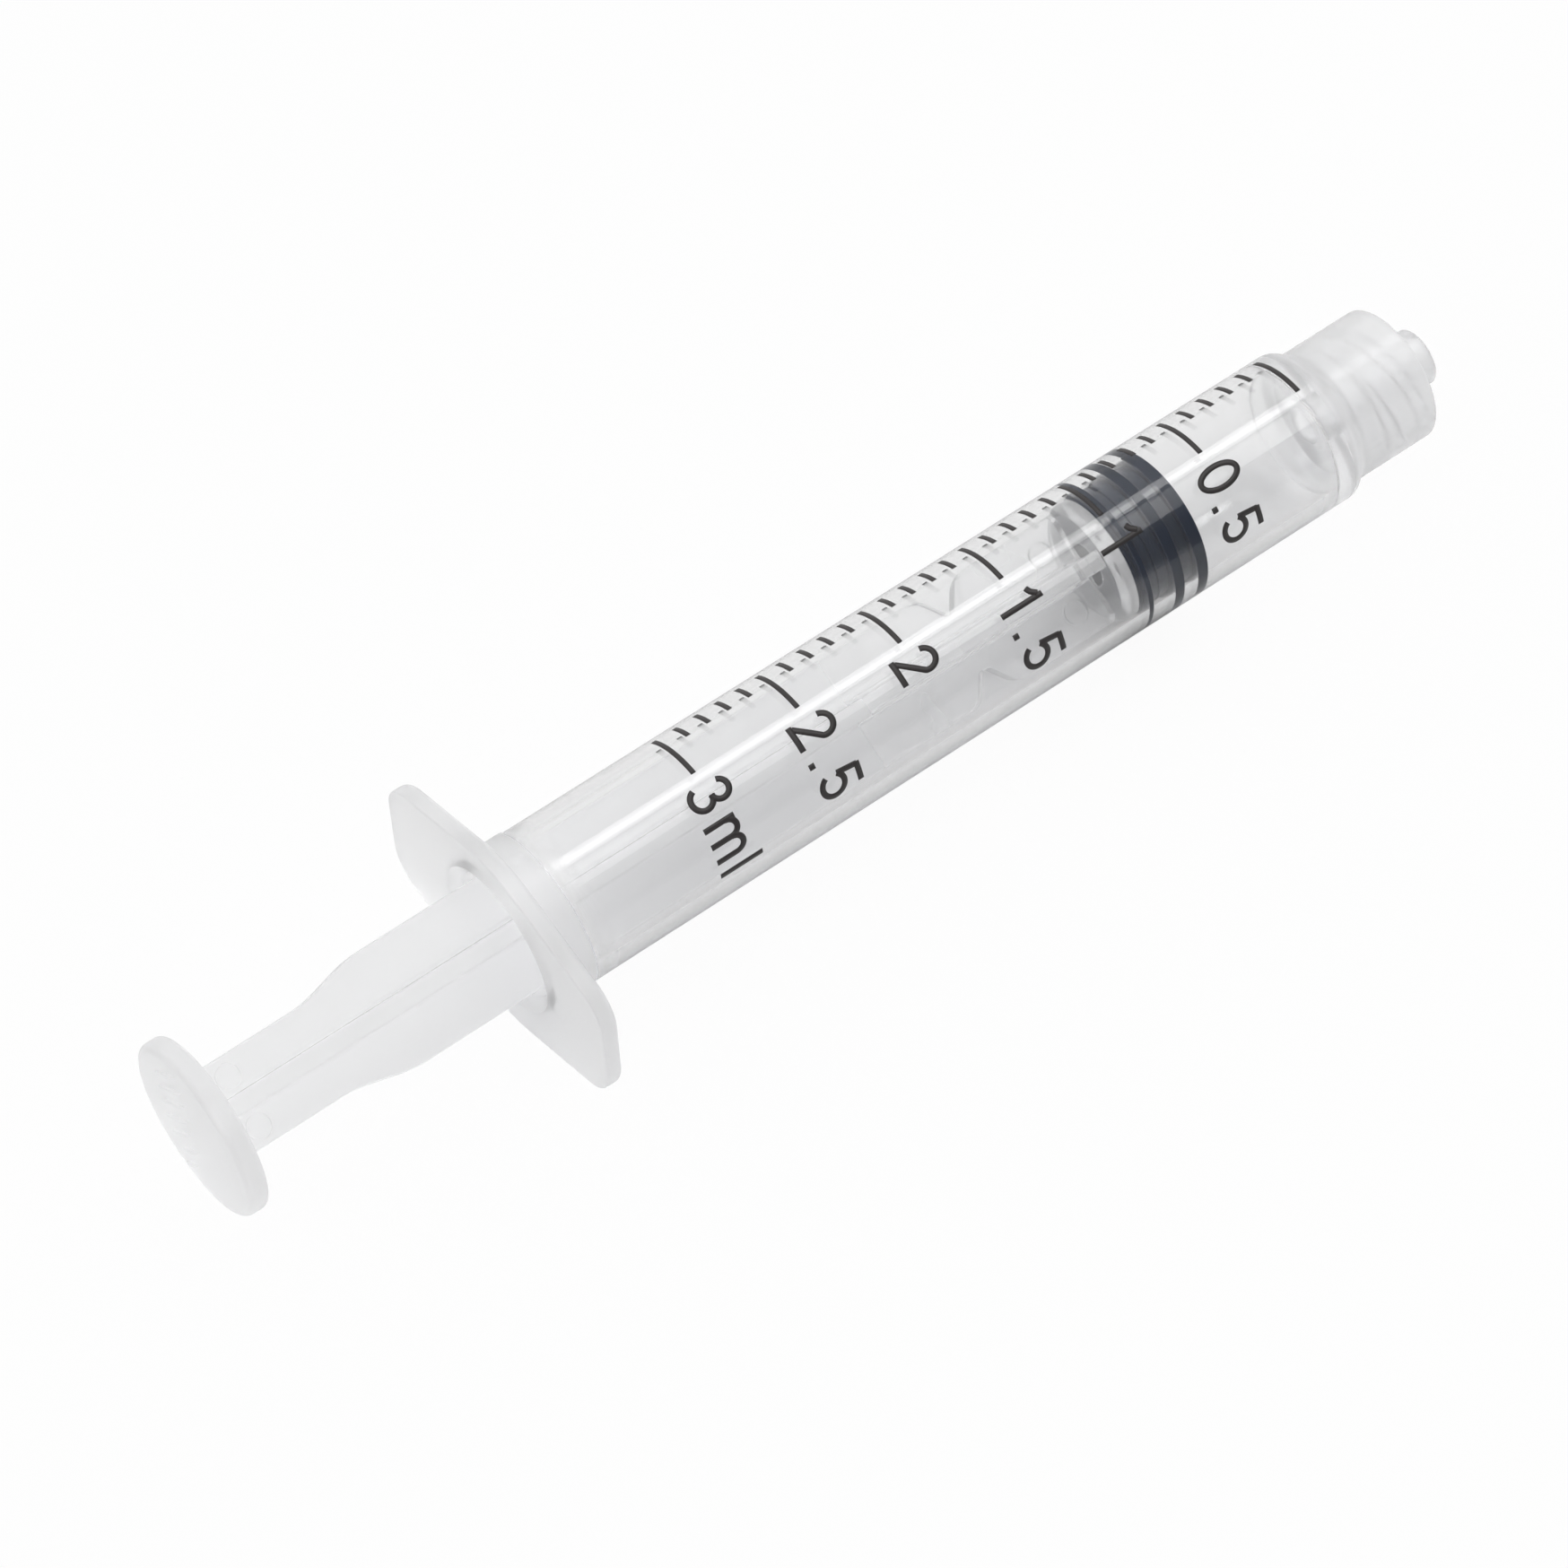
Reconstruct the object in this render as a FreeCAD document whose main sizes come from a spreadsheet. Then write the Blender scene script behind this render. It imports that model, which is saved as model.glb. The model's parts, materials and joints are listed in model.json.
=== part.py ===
import FreeCAD, Part
import os
import Sketcher

# Luer lock syringe of about 3 ml: a clear barrel, a cross-ribbed plunger rod and a rubber stopper.
# It lies as it comes to rest, on the finger flange and the front shoulder of the barrel.
# Each piece is drawn along its own X axis, which points at the nozzle, and is then laid in place.
# Lengths are in millimetres and angles in degrees.

SAME = 1e-4  # two places this near are the same place

SIZES = [
    # Barrel: tube and mouth
    ("bore_radius", 4.468, "inside of the tube"),
    ("tube_wall", 0.882, "wall of the tube"),
    ("tube_length", 64.1, "rear face of the flange to the corner where the tube necks down"),
    ("shoulder_length", 0.8, "length of the necking down"),
    ("shoulder_round", 1.0, "outer round of the shoulder"),
    ("shoulder_hollow", 0.8, "inner round between shoulder and lock collar"),
    ("mouth_flare", 0.732, "how much wider than the bore the mouth is at the face"),
    ("mouth_depth", 0.6, "length of the lead-in"),
    ("bead_start", 1.4, "where the retaining bead begins to rise"),
    ("bead_ramp", 0.5, "length of each slope of the bead"),
    ("bead_crest", 1.2, "length of the bead's crest"),
    ("bead_height", 0.318, "how far the bead stands into the bore"),
    ("collar_length", 3.9, "end of the thickened mouth"),
    ("collar_step", 0.1, "how far the thickened mouth stands proud of the tube"),
    ("collar_ramp", 0.3, "length of the slope from thickened mouth to tube"),
    ("bore_cone", 1.1, "length of the cone that closes the bore"),
    ("front_wall", 1.6, "end of that cone to the floor of the lock collar"),
    # Finger flange
    ("flange_thickness", 1.3, "flange from face to face"),
    ("flange_half_height", 7.43, "axis to the middle of the flange's long edges"),
    ("flange_middle_round", 9.0, "round of the long edges between the wings"),
    ("flange_reach", 11.2, "axis to the end of each wing"),
    ("flange_taper", 17.5, "slope of the wing's edges"),
    ("flange_corner", 3.0, "round of the wing's corners"),
    ("flange_front_round", 0.55, "round along the front edge"),
    ("flange_rear_break", 0.12, "broken rear edge"),
    ("flange_root", 0.3, "sloped web where the flange meets the thickened mouth"),
    # Lock collar and nozzle
    ("lock_inner_radius", 4.0, "inside of the lock collar, at the thread's root"),
    ("lock_wall", 0.7, "wall of the lock collar"),
    ("lock_length", 6.2, "shoulder to the open end of the lock collar"),
    ("lock_depth", 5.7, "open end to the floor of the lock collar"),
    ("lock_rim_break", 0.25, "outer break of the collar's rim"),
    ("lock_lead_in", 0.12, "inner break of the collar's rim"),
    ("nozzle_proud", 2.3, "how far the nozzle stands out of the collar"),
    ("nozzle_tip_radius", 1.965, "nozzle at its tip"),
    ("nozzle_slope", 0.03, "growth of the nozzle's radius for each millimetre: a 6 percent taper"),
    ("nozzle_tip_break", 0.2, "broken edge of the nozzle's tip"),
    ("nozzle_bore_radius", 1.0, "way through the nozzle"),
    # Scale, which sets where the stopper stands
    ("zero_setback", 0.08, "end of the bore back to the scale's zero line"),
    ("drawn_volume", 0.67, "millilitres shown by the front ring"),
    # Stopper, measured from its rear face
    ("ring_clearance", 0.03, "sealing ring to bore"),
    ("ring_break", 0.1, "broken edges of the sealing rings"),
    ("ring_height", 0.338, "how far the rings stand out of the stopper's body"),
    ("rear_ring_start", 0.35, "rear face to rear ring"),
    ("rear_ring_width", 0.5, "rear ring"),
    ("rear_band", 1.6, "band between rear and middle ring"),
    ("middle_ring_width", 0.9, "middle ring"),
    ("front_band", 0.95, "band between middle and front ring"),
    ("front_ring_width", 0.95, "front ring"),
    ("cone_inset", 0.238, "front ring's edge to the foot of the front cone"),
    ("cone_height", 1.15, "front cone"),
    ("cone_tip_radius", 0.6, "blunt tip of the front cone"),
    # Plunger rod, measured from the rear face of the thumb disc
    ("thumb_radius", 6.05, "thumb disc"),
    ("thumb_thickness", 1.5, "thumb disc"),
    ("thumb_round", 0.5, "round of the thumb disc's rear edge"),
    ("thumb_front_break", 0.35, "broken front edge of the thumb disc"),
    ("thumb_root", 0.5, "hollow where the ribs meet the thumb disc"),
    ("rib_thickness", 1.2, "each of the four ribs"),
    ("rib_core_hollow", 0.3, "hollow along the rod where two ribs meet"),
    ("rib_clearance", 0.22, "rib edges to the retaining bead"),
    ("rib_end", 68.0, "front end of the ribs"),
    ("rib_end_round", 0.4, "round of the ribs' front corners"),
    ("waist_depth", 0.93, "how far the ribs draw in at the waist"),
    ("waist_end", 9.9, "corner where the ribs begin to widen"),
    ("widening", 3.8, "length over which they widen"),
    ("waist_round", 8.0, "rounds of the widening"),
    ("notch_setback", 9.35, "front end of the ribs back to the middle of the break notches"),
    ("notch_depth", 1.83, "rib edge to the bottom of a break notch"),
    ("notch_bottom", 0.5, "width of a notch's flat bottom"),
    ("notch_flank", 55.0, "slope of a notch's sides from the axis"),
    ("notch_shoulder_round", 1.5, "round at the top of a notch's sides"),
    ("notch_bottom_round", 0.25, "round at the bottom of a notch's sides"),
    ("disc_clearance", 0.218, "front disc to bore"),
    ("disc_thickness", 1.1, "front disc"),
    ("disc_chamfer", 0.4, "rear chamfer of the front disc"),
    ("neck_radius", 1.5, "neck that the stopper closes on"),
    ("neck_length", 1.2, "front disc to barbed head"),
    ("head_radius", 2.4, "barbed head at its widest"),
    ("head_land", 0.6, "straight part of the head"),
    ("head_length", 2.15, "barbed head"),
    ("head_tip_radius", 1.5, "front of the head"),
    ("seat_clearance", 0.05, "rod to stopper, all round its neck, head and disc"),
    ("rod_roll", 32.6, "how far the rod is turned in the barrel"),
]

# What follows from the sizes: the same in every piece that uses it.
PLACES = [
    ("tube_radius", "Sizes.bore_radius + Sizes.tube_wall"),
    ("shoulder_end", "Sizes.tube_length + Sizes.shoulder_length"),
    ("flange_apex", "Sizes.flange_half_height"
     " + Sizes.flange_middle_round * (1 / cos(Sizes.flange_taper * 1deg) - 1)"),
    ("wing_end", "Places.flange_apex - Sizes.flange_reach * tan(Sizes.flange_taper * 1deg)"),
    ("lock_outer_radius", "Sizes.lock_inner_radius + Sizes.lock_wall"),
    ("lock_end", "Places.shoulder_end + Sizes.lock_length"),
    ("lock_floor", "Places.lock_end - Sizes.lock_depth"),
    ("nozzle_end", "Places.lock_end + Sizes.nozzle_proud"),
    ("nozzle_root_radius", "Sizes.nozzle_tip_radius"
     " + Sizes.nozzle_slope * (Places.nozzle_end - Places.lock_floor)"),
    ("cone_end", "Places.lock_floor - Sizes.front_wall"),
    ("bore_end", "Places.cone_end - Sizes.bore_cone"),
    ("bead_radius", "Sizes.bore_radius - Sizes.bead_height"),
    ("ring_radius", "Sizes.bore_radius - Sizes.ring_clearance"),
    ("body_radius", "Places.ring_radius - Sizes.ring_height"),
    ("scale_zero", "Places.bore_end - Sizes.zero_setback"),
    ("scale_pitch", "1000 / (pi * Sizes.bore_radius ^ 2)"),
    ("stopper_length", "Sizes.rear_ring_start + Sizes.rear_ring_width + Sizes.rear_band"
     " + Sizes.middle_ring_width + Sizes.front_band + Sizes.front_ring_width"),
    ("stopper_back", "Places.scale_zero - Sizes.drawn_volume * Places.scale_pitch"
     " - Places.stopper_length"),
    ("rib_reach", "Places.bead_radius - Sizes.rib_clearance"),
    ("waist_reach", "Places.rib_reach - Sizes.waist_depth"),
    ("rib_start", "Sizes.waist_end + Sizes.widening"),
    ("notch_place", "Sizes.rib_end - Sizes.notch_setback"),
    ("notch_reach", "Places.rib_reach - Sizes.notch_depth"),
    ("disc_radius", "Sizes.bore_radius - Sizes.disc_clearance"),
    ("disc_front", "Sizes.rib_end + Sizes.disc_thickness"),
    ("rod_back", "Places.stopper_back - Sizes.seat_clearance - Places.disc_front"),
    # The piece touches the table with two rounds, and the tilt is that of their common tangent.
    ("rear_round_x", "Sizes.flange_thickness - Sizes.flange_front_round"),
    ("rear_round_r", "Sizes.flange_half_height - Sizes.flange_front_round"),
    ("shoulder_turn", "atan((Places.tube_radius - Places.lock_outer_radius)"
     " / Sizes.shoulder_length) / 1deg"),
    ("front_round_x", "Sizes.tube_length"
     " - Sizes.shoulder_round * tan(Places.shoulder_turn / 2 * 1deg)"),
    ("front_round_r", "Places.tube_radius - Sizes.shoulder_round"),
    ("round_span", "Places.front_round_x - Places.rear_round_x"),
    ("round_drop", "Places.rear_round_r - Places.front_round_r"),
    ("tilt", "(atan(Places.round_drop / Places.round_span)"
     " - asin((Sizes.shoulder_round - Sizes.flange_front_round)"
     " / sqrt(Places.round_span ^ 2 + Places.round_drop ^ 2))) / 1deg"),
    ("rise", "sin(Places.tilt * 1deg)"),
    ("run", "cos(Places.tilt * 1deg)"),
    ("lift", "Places.rear_round_x * Places.rise + Places.rear_round_r * Places.run"
     " + Sizes.flange_front_round"),
    ("front_reach", "Places.nozzle_end * Places.run + Sizes.nozzle_tip_radius * Places.rise"),
    ("rear_reach", "-Places.rod_back * Places.run + Sizes.thumb_radius * Places.rise"),
    ("shift", "(Places.rear_reach - Places.front_reach) / 2"),
]

doc = FreeCAD.newDocument("LuerLockSyringe")
sheet = doc.addObject("Spreadsheet::Sheet", "Sizes")
for row, (alias, number, note) in enumerate(SIZES, start=1):
    sheet.set(f"A{row}", alias)
    sheet.set(f"B{row}", str(number))
    sheet.set(f"C{row}", note)
    sheet.setAlias(f"B{row}", alias)
doc.recompute()

places = doc.addObject("App::VarSet", "Places")
for name, rule in PLACES:
    places.addProperty("App::PropertyFloat", name, "Places")
    places.setExpression(name, rule.replace("Places.", ""))
    doc.recompute()


def value(rule):
    """The number that an expression on the sheet comes to."""
    return float(places.evalExpression(rule))


def bind(feature, **rules):
    """Tie properties of a feature to expressions on the sheet."""
    for name, rule in rules.items():
        feature.setExpression(name, rule)


def new_body(name):
    body = doc.addObject("PartDesign::Body", name)
    body.Label = name
    return body


def new_sketch(body, name, plane):
    """An empty sketch on one of the body's own origin planes."""
    sketch = body.newObject("Sketcher::SketchObject", name)
    origin_plane = next(item for item in body.Origin.OriginFeatures if item.Role == plane)
    sketch.AttachmentSupport = [(origin_plane, "")]
    sketch.MapMode = "FlatFace"
    return sketch


def draw(sketch, corners):
    """Draw a closed outline of straight lines, each corner tied to a pair of expressions."""
    first = sketch.GeometryCount
    spots = [FreeCAD.Vector(value(across), value(up), 0) for across, up in corners]
    count = len(corners)
    for index in range(count):
        sketch.addGeometry(Part.LineSegment(spots[index], spots[(index + 1) % count]), False)
    for index in range(count):
        following = first + (index + 1) % count
        sketch.addConstraint(Sketcher.Constraint("Coincident", first + index, 2, following, 1))
    for index, (across, up) in enumerate(corners):
        for kind, rule in (("DistanceX", across), ("DistanceY", up)):
            number = value(rule)
            place = sketch.addConstraint(
                Sketcher.Constraint(kind, -1, 1, first + index, 1, number))
            if number:
                sketch.setExpression(f"Constraints[{place}]", rule)


def turn(body, name, kind, corners):
    """Turn a half section about the body's X axis, to add it or to cut it away."""
    sketch = new_sketch(body, name + "_section", "XZ_Plane")
    draw(sketch, corners)
    feature = body.newObject(kind, name)
    feature.Profile = sketch
    feature.ReferenceAxis = (sketch, ["H_Axis"])
    feature.Angle = 360
    sketch.Visibility = False
    doc.recompute()
    return feature


def circles(feature, place, radius):
    """The feature's round edges about the X axis at one distance along it, of one radius."""
    along = value(place)
    wanted = value(radius)
    found = []
    for number, edge in enumerate(feature.Shape.Edges, start=1):
        curve = edge.Curve
        if curve.TypeId != "Part::GeomCircle" or abs(curve.Axis.x) < 0.999:
            continue
        off_axis = max(abs(curve.Center.y), abs(curve.Center.z))
        if max(abs(curve.Center.x - along), abs(curve.Radius - wanted), off_axis) < SAME:
            found.append(f"Edge{number}")
    return found


def lines_along(feature, direction, *spots):
    """The feature's straight edges along one direction that pass through the given points."""
    found = []
    for number, edge in enumerate(feature.Shape.Edges, start=1):
        if edge.Curve.TypeId != "Part::GeomLine" or abs(edge.Curve.Direction * direction) < 0.999:
            continue
        for spot in spots:
            offset = spot - edge.CenterOfMass
            if (offset - direction * (offset * direction)).Length < SAME:
                found.append(f"Edge{number}")
    return found


def edges_in_plane(feature, place, within):
    """The feature's edges in one plane across the X axis whose middles are within a radius."""
    along = value(place)
    farthest = value(within)
    found = []
    for number, edge in enumerate(feature.Shape.Edges, start=1):
        box = edge.BoundBox
        if max(abs(box.XMin - along), abs(box.XMax - along)) > SAME:
            continue
        middle = edge.valueAt((edge.FirstParameter + edge.LastParameter) / 2)
        if FreeCAD.Vector(0, middle.y, middle.z).Length < farthest:
            found.append(f"Edge{number}")
    return found


def dress(body, name, kind, feature, edges, **rules):
    """Add a fillet or chamfer to edges of the last feature, with its size on the sheet."""
    if not edges:
        raise RuntimeError(name + " found no edge")
    dressing = body.newObject(kind, name)
    dressing.Base = (feature, edges)
    bind(dressing, **rules)
    doc.recompute()
    return dressing


def round_edges(body, name, feature, edges, radius):
    return dress(body, name, "PartDesign::Fillet", feature, edges, Radius=radius)


def break_edges(body, name, feature, edges, size):
    return dress(body, name, "PartDesign::Chamfer", feature, edges, Size=size)


def lay(body, back, roll="0"):
    """Lay a body down with its own origin at one distance along the syringe's axis."""
    body.setExpression(
        "Placement",
        f"placement(vector(Places.shift + ({back}) * Places.run; 0;"
        f" Places.lift - ({back}) * Places.rise);"
        f" rotation(vector(0; 1; 0); Places.tilt) * rotation(vector(1; 0; 0); {roll}))")


# Barrel: one moulding of flange, tube, lock collar and nozzle
def make_barrel():
    barrel = new_body("barrel")
    outline = new_sketch(barrel, "flange_outline", "YZ_Plane")
    draw(outline, [
        ("0", "Places.flange_apex"),
        ("Sizes.flange_reach", "Places.wing_end"),
        ("Sizes.flange_reach", "-Places.wing_end"),
        ("0", "-Places.flange_apex"),
        ("-Sizes.flange_reach", "-Places.wing_end"),
        ("-Sizes.flange_reach", "Places.wing_end"),
    ])
    flange = barrel.newObject("PartDesign::Pad", "flange")
    flange.Profile = outline
    bind(flange, Length="Sizes.flange_thickness")
    outline.Visibility = False
    doc.recompute()

    along = FreeCAD.Vector(1, 0, 0)
    reach = value("Sizes.flange_reach")
    wing_end = value("Places.wing_end")
    tips = [FreeCAD.Vector(0, side * reach, end * wing_end) for side in (1, -1) for end in (1, -1)]
    wings = round_edges(barrel, "wing_corners", flange, lines_along(flange, along, *tips),
                        "Sizes.flange_corner")
    whole_flange = "Sizes.flange_reach + Places.flange_apex"
    tops = [FreeCAD.Vector(0, 0, end * value("Places.flange_apex")) for end in (1, -1)]
    middle = round_edges(barrel, "flange_middle", wings, lines_along(wings, along, *tops),
                         "Sizes.flange_middle_round")
    front = round_edges(barrel, "flange_front_edge", middle,
                        edges_in_plane(middle, "Sizes.flange_thickness", whole_flange),
                        "Sizes.flange_front_round")
    break_edges(barrel, "flange_rear_edge", front, edges_in_plane(front, "0", whole_flange),
                "Sizes.flange_rear_break")

    collar_radius = "Places.tube_radius + Sizes.collar_step"
    outside = turn(barrel, "outside", "PartDesign::Revolution", [
        ("0", "0"),
        ("0", collar_radius),
        ("Sizes.collar_length - Sizes.collar_ramp", collar_radius),
        ("Sizes.collar_length", "Places.tube_radius"),
        ("Sizes.tube_length", "Places.tube_radius"),
        ("Places.shoulder_end", "Places.lock_outer_radius"),
        ("Places.lock_end", "Places.lock_outer_radius"),
        ("Places.lock_end", "Sizes.lock_inner_radius"),
        ("Places.lock_floor", "Sizes.lock_inner_radius"),
        ("Places.lock_floor", "Places.nozzle_root_radius"),
        ("Places.nozzle_end", "Sizes.nozzle_tip_radius"),
        ("Places.nozzle_end", "0"),
    ])
    last = outside
    for name, place, radius, size in (
            ("shoulder", "Sizes.tube_length", "Places.tube_radius", "Sizes.shoulder_round"),
            ("shoulder_hollow", "Places.shoulder_end", "Places.lock_outer_radius",
             "Sizes.shoulder_hollow")):
        last = round_edges(barrel, name, last, circles(last, place, radius), size)
    for name, place, radius, size in (
            ("flange_root", "Sizes.flange_thickness", collar_radius, "Sizes.flange_root"),
            ("lock_rim", "Places.lock_end", "Places.lock_outer_radius", "Sizes.lock_rim_break"),
            ("lock_lead_in", "Places.lock_end", "Sizes.lock_inner_radius", "Sizes.lock_lead_in"),
            ("nozzle_tip", "Places.nozzle_end", "Sizes.nozzle_tip_radius",
             "Sizes.nozzle_tip_break")):
        last = break_edges(barrel, name, last, circles(last, place, radius), size)

    bead_crest_start = "Sizes.bead_start + Sizes.bead_ramp"
    bead_crest_end = bead_crest_start + " + Sizes.bead_crest"
    turn(barrel, "inside", "PartDesign::Groove", [
        ("0", "0"),
        ("0", "Sizes.bore_radius + Sizes.mouth_flare"),
        ("Sizes.mouth_depth", "Sizes.bore_radius"),
        ("Sizes.bead_start", "Sizes.bore_radius"),
        (bead_crest_start, "Places.bead_radius"),
        (bead_crest_end, "Places.bead_radius"),
        (bead_crest_end + " + Sizes.bead_ramp", "Sizes.bore_radius"),
        ("Places.bore_end", "Sizes.bore_radius"),
        ("Places.cone_end", "Sizes.nozzle_bore_radius"),
        ("Places.nozzle_end", "Sizes.nozzle_bore_radius"),
        ("Places.nozzle_end", "0"),
    ])
    lay(barrel, "0")
    return barrel


# Plunger rod: one moulding of thumb disc, crossed ribs, front disc, neck and barbed head
def make_plunger_rod():
    rod = new_body("plunger_rod")
    last = turn(rod, "thumb_disc", "PartDesign::Revolution", [
        ("0", "0"),
        ("0", "Sizes.thumb_radius"),
        ("Sizes.thumb_thickness", "Sizes.thumb_radius"),
        ("Sizes.thumb_thickness", "0"),
    ])
    last = round_edges(rod, "thumb_rear_edge", last, circles(last, "0", "Sizes.thumb_radius"),
                       "Sizes.thumb_round")
    break_edges(rod, "thumb_front_edge", last,
                circles(last, "Sizes.thumb_thickness", "Sizes.thumb_radius"),
                "Sizes.thumb_front_break")

    half = value("Sizes.rib_thickness / 2")
    for plane, across, other in (("XZ_Plane", FreeCAD.Vector(0, 1, 0), FreeCAD.Vector(0, 0, 1)),
                                 ("XY_Plane", FreeCAD.Vector(0, 0, 1), FreeCAD.Vector(0, 1, 0))):
        outline = new_sketch(rod, "rib_outline_" + plane[:2], plane)
        edge = [
            ("Sizes.thumb_thickness / 2", "Places.waist_reach"),
            ("Sizes.waist_end", "Places.waist_reach"),
            ("Places.rib_start", "Places.rib_reach"),
            ("Sizes.rib_end", "Places.rib_reach"),
        ]
        draw(outline, edge + [(place, "-" + reach) for place, reach in reversed(edge)])
        ribs = rod.newObject("PartDesign::Pad", "ribs_" + plane[:2])
        ribs.Profile = outline
        ribs.Midplane = True
        bind(ribs, Length="Sizes.rib_thickness")
        outline.Visibility = False
        doc.recompute()

        def spots(place, reach):
            """The rib's two edges at one corner of its outline, one each side of the axis."""
            along = FreeCAD.Vector(value(place), 0, 0)
            return [along + other * value(reach) * side for side in (1, -1)]

        widening = spots("Sizes.waist_end", "Places.waist_reach")
        widening += spots("Places.rib_start", "Places.rib_reach")
        soft = round_edges(rod, "waist_" + plane[:2], ribs, lines_along(ribs, across, *widening),
                           "Sizes.waist_round")
        ends = spots("Sizes.rib_end", "Places.rib_reach")
        last = round_edges(rod, "rib_ends_" + plane[:2], soft, lines_along(soft, across, *ends),
                           "Sizes.rib_end_round")

    # Break notches: one in each of the two ribs of the flat pair
    half_bottom = "Sizes.notch_bottom / 2"
    clear_reach = "(Places.rib_reach + Sizes.notch_depth)"
    half_top = f"({half_bottom} + 2 * Sizes.notch_depth / tan(Sizes.notch_flank * 1deg))"
    cut = new_sketch(rod, "notch_outline", "XY_Plane")
    for sign in ("", "-"):
        draw(cut, [
            (f"Places.notch_place - {half_top}", sign + clear_reach),
            (f"Places.notch_place - {half_bottom}", sign + "Places.notch_reach"),
            (f"Places.notch_place + {half_bottom}", sign + "Places.notch_reach"),
            (f"Places.notch_place + {half_top}", sign + clear_reach),
        ])
    before = rod.Shape.Volume
    notches = rod.newObject("PartDesign::Pocket", "break_notches")
    notches.Profile = cut
    notches.Type = "ThroughAll"
    notches.Midplane = True
    cut.Visibility = False
    doc.recompute()
    if rod.Shape.Volume > before - value("Sizes.rib_thickness"):
        raise RuntimeError("the break notches cut nothing")
    across = FreeCAD.Vector(0, 0, 1)
    half_shoulder = f"({half_bottom} + Sizes.notch_depth / tan(Sizes.notch_flank * 1deg))"
    shoulders = []
    bottoms = []
    for sign in (1, -1):
        for side in (1, -1):
            shoulders.append(FreeCAD.Vector(
                value("Places.notch_place") + sign * value(half_shoulder),
                side * value("Places.rib_reach"), 0))
            bottoms.append(FreeCAD.Vector(
                value("Places.notch_place") + sign * value(half_bottom),
                side * value("Places.notch_reach"), 0))
    last = round_edges(rod, "notch_shoulders", notches, lines_along(notches, across, *shoulders),
                       "Sizes.notch_shoulder_round")
    last = round_edges(rod, "notch_bottoms", last, lines_along(last, across, *bottoms),
                       "Sizes.notch_bottom_round")

    # Hollows where the ribs meet each other and the thumb disc
    along = FreeCAD.Vector(1, 0, 0)
    seams = [FreeCAD.Vector(0, one * half, two * half) for one in (1, -1) for two in (1, -1)]
    last = round_edges(rod, "rib_core", last, lines_along(last, along, *seams),
                       "Sizes.rib_core_hollow")
    round_edges(rod, "thumb_root", last,
                edges_in_plane(last, "Sizes.thumb_thickness",
                               "(Places.waist_reach + Sizes.thumb_radius) / 2"),
                "Sizes.thumb_root")

    # Front disc with its chamfered rear edge, then the neck and barbed head inside the stopper
    neck_end = "Places.disc_front + Sizes.neck_length"
    turn(rod, "front_disc_and_head", "PartDesign::Revolution", [
        ("Sizes.rib_end", "0"),
        ("Sizes.rib_end", "Places.disc_radius - Sizes.disc_chamfer"),
        ("Sizes.rib_end + Sizes.disc_chamfer", "Places.disc_radius"),
        ("Places.disc_front", "Places.disc_radius"),
        ("Places.disc_front", "Sizes.neck_radius"),
        (neck_end, "Sizes.neck_radius"),
        (neck_end, "Sizes.head_radius"),
        (neck_end + " + Sizes.head_land", "Sizes.head_radius"),
        (neck_end + " + Sizes.head_length", "Sizes.head_tip_radius"),
        (neck_end + " + Sizes.head_length", "0"),
    ])
    lay(rod, "Places.rod_back", "Sizes.rod_roll")
    return rod


# Stopper: three sealing rings, a front cone, and a cavity that closes on the rod's neck and head
def make_stopper():
    stopper = new_body("stopper")
    cavity_neck = "Sizes.neck_radius + Sizes.seat_clearance"
    cavity_head = "Sizes.head_radius + Sizes.seat_clearance"
    cavity_shoulder = "Sizes.neck_length - 2 * Sizes.seat_clearance"
    cavity_land = "Sizes.neck_length + Sizes.head_land"
    cavity_tip = "Sizes.head_tip_radius + Sizes.seat_clearance"
    cavity_end = "Sizes.neck_length + Sizes.head_length"
    rear_ring_end = "Sizes.rear_ring_start + Sizes.rear_ring_width"
    middle_ring_start = rear_ring_end + " + Sizes.rear_band"
    middle_ring_end = middle_ring_start + " + Sizes.middle_ring_width"
    front_ring_start = middle_ring_end + " + Sizes.front_band"
    outline = turn(stopper, "rubber", "PartDesign::Revolution", [
        ("0", cavity_neck),
        ("0", "Places.body_radius"),
        ("Sizes.rear_ring_start", "Places.body_radius"),
        ("Sizes.rear_ring_start", "Places.ring_radius"),
        (rear_ring_end, "Places.ring_radius"),
        (rear_ring_end, "Places.body_radius"),
        (middle_ring_start, "Places.body_radius"),
        (middle_ring_start, "Places.ring_radius"),
        (middle_ring_end, "Places.ring_radius"),
        (middle_ring_end, "Places.body_radius"),
        (front_ring_start, "Places.body_radius"),
        (front_ring_start, "Places.ring_radius"),
        ("Places.stopper_length", "Places.ring_radius"),
        ("Places.stopper_length", "Places.ring_radius - Sizes.cone_inset"),
        ("Places.stopper_length + Sizes.cone_height", "Sizes.cone_tip_radius"),
        ("Places.stopper_length + Sizes.cone_height", "0"),
        (cavity_end, "0"),
        (cavity_end, cavity_tip),
        (cavity_land, cavity_head),
        (cavity_shoulder, cavity_head),
        (cavity_shoulder, cavity_neck),
    ])
    edges = []
    for place in ("Sizes.rear_ring_start", rear_ring_end, middle_ring_start, middle_ring_end,
                  front_ring_start, "Places.stopper_length"):
        edges += circles(outline, place, "Places.ring_radius")
    break_edges(stopper, "ring_edges", outline, edges, "Sizes.ring_break")
    lay(stopper, "Places.stopper_back")
    return stopper


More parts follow.
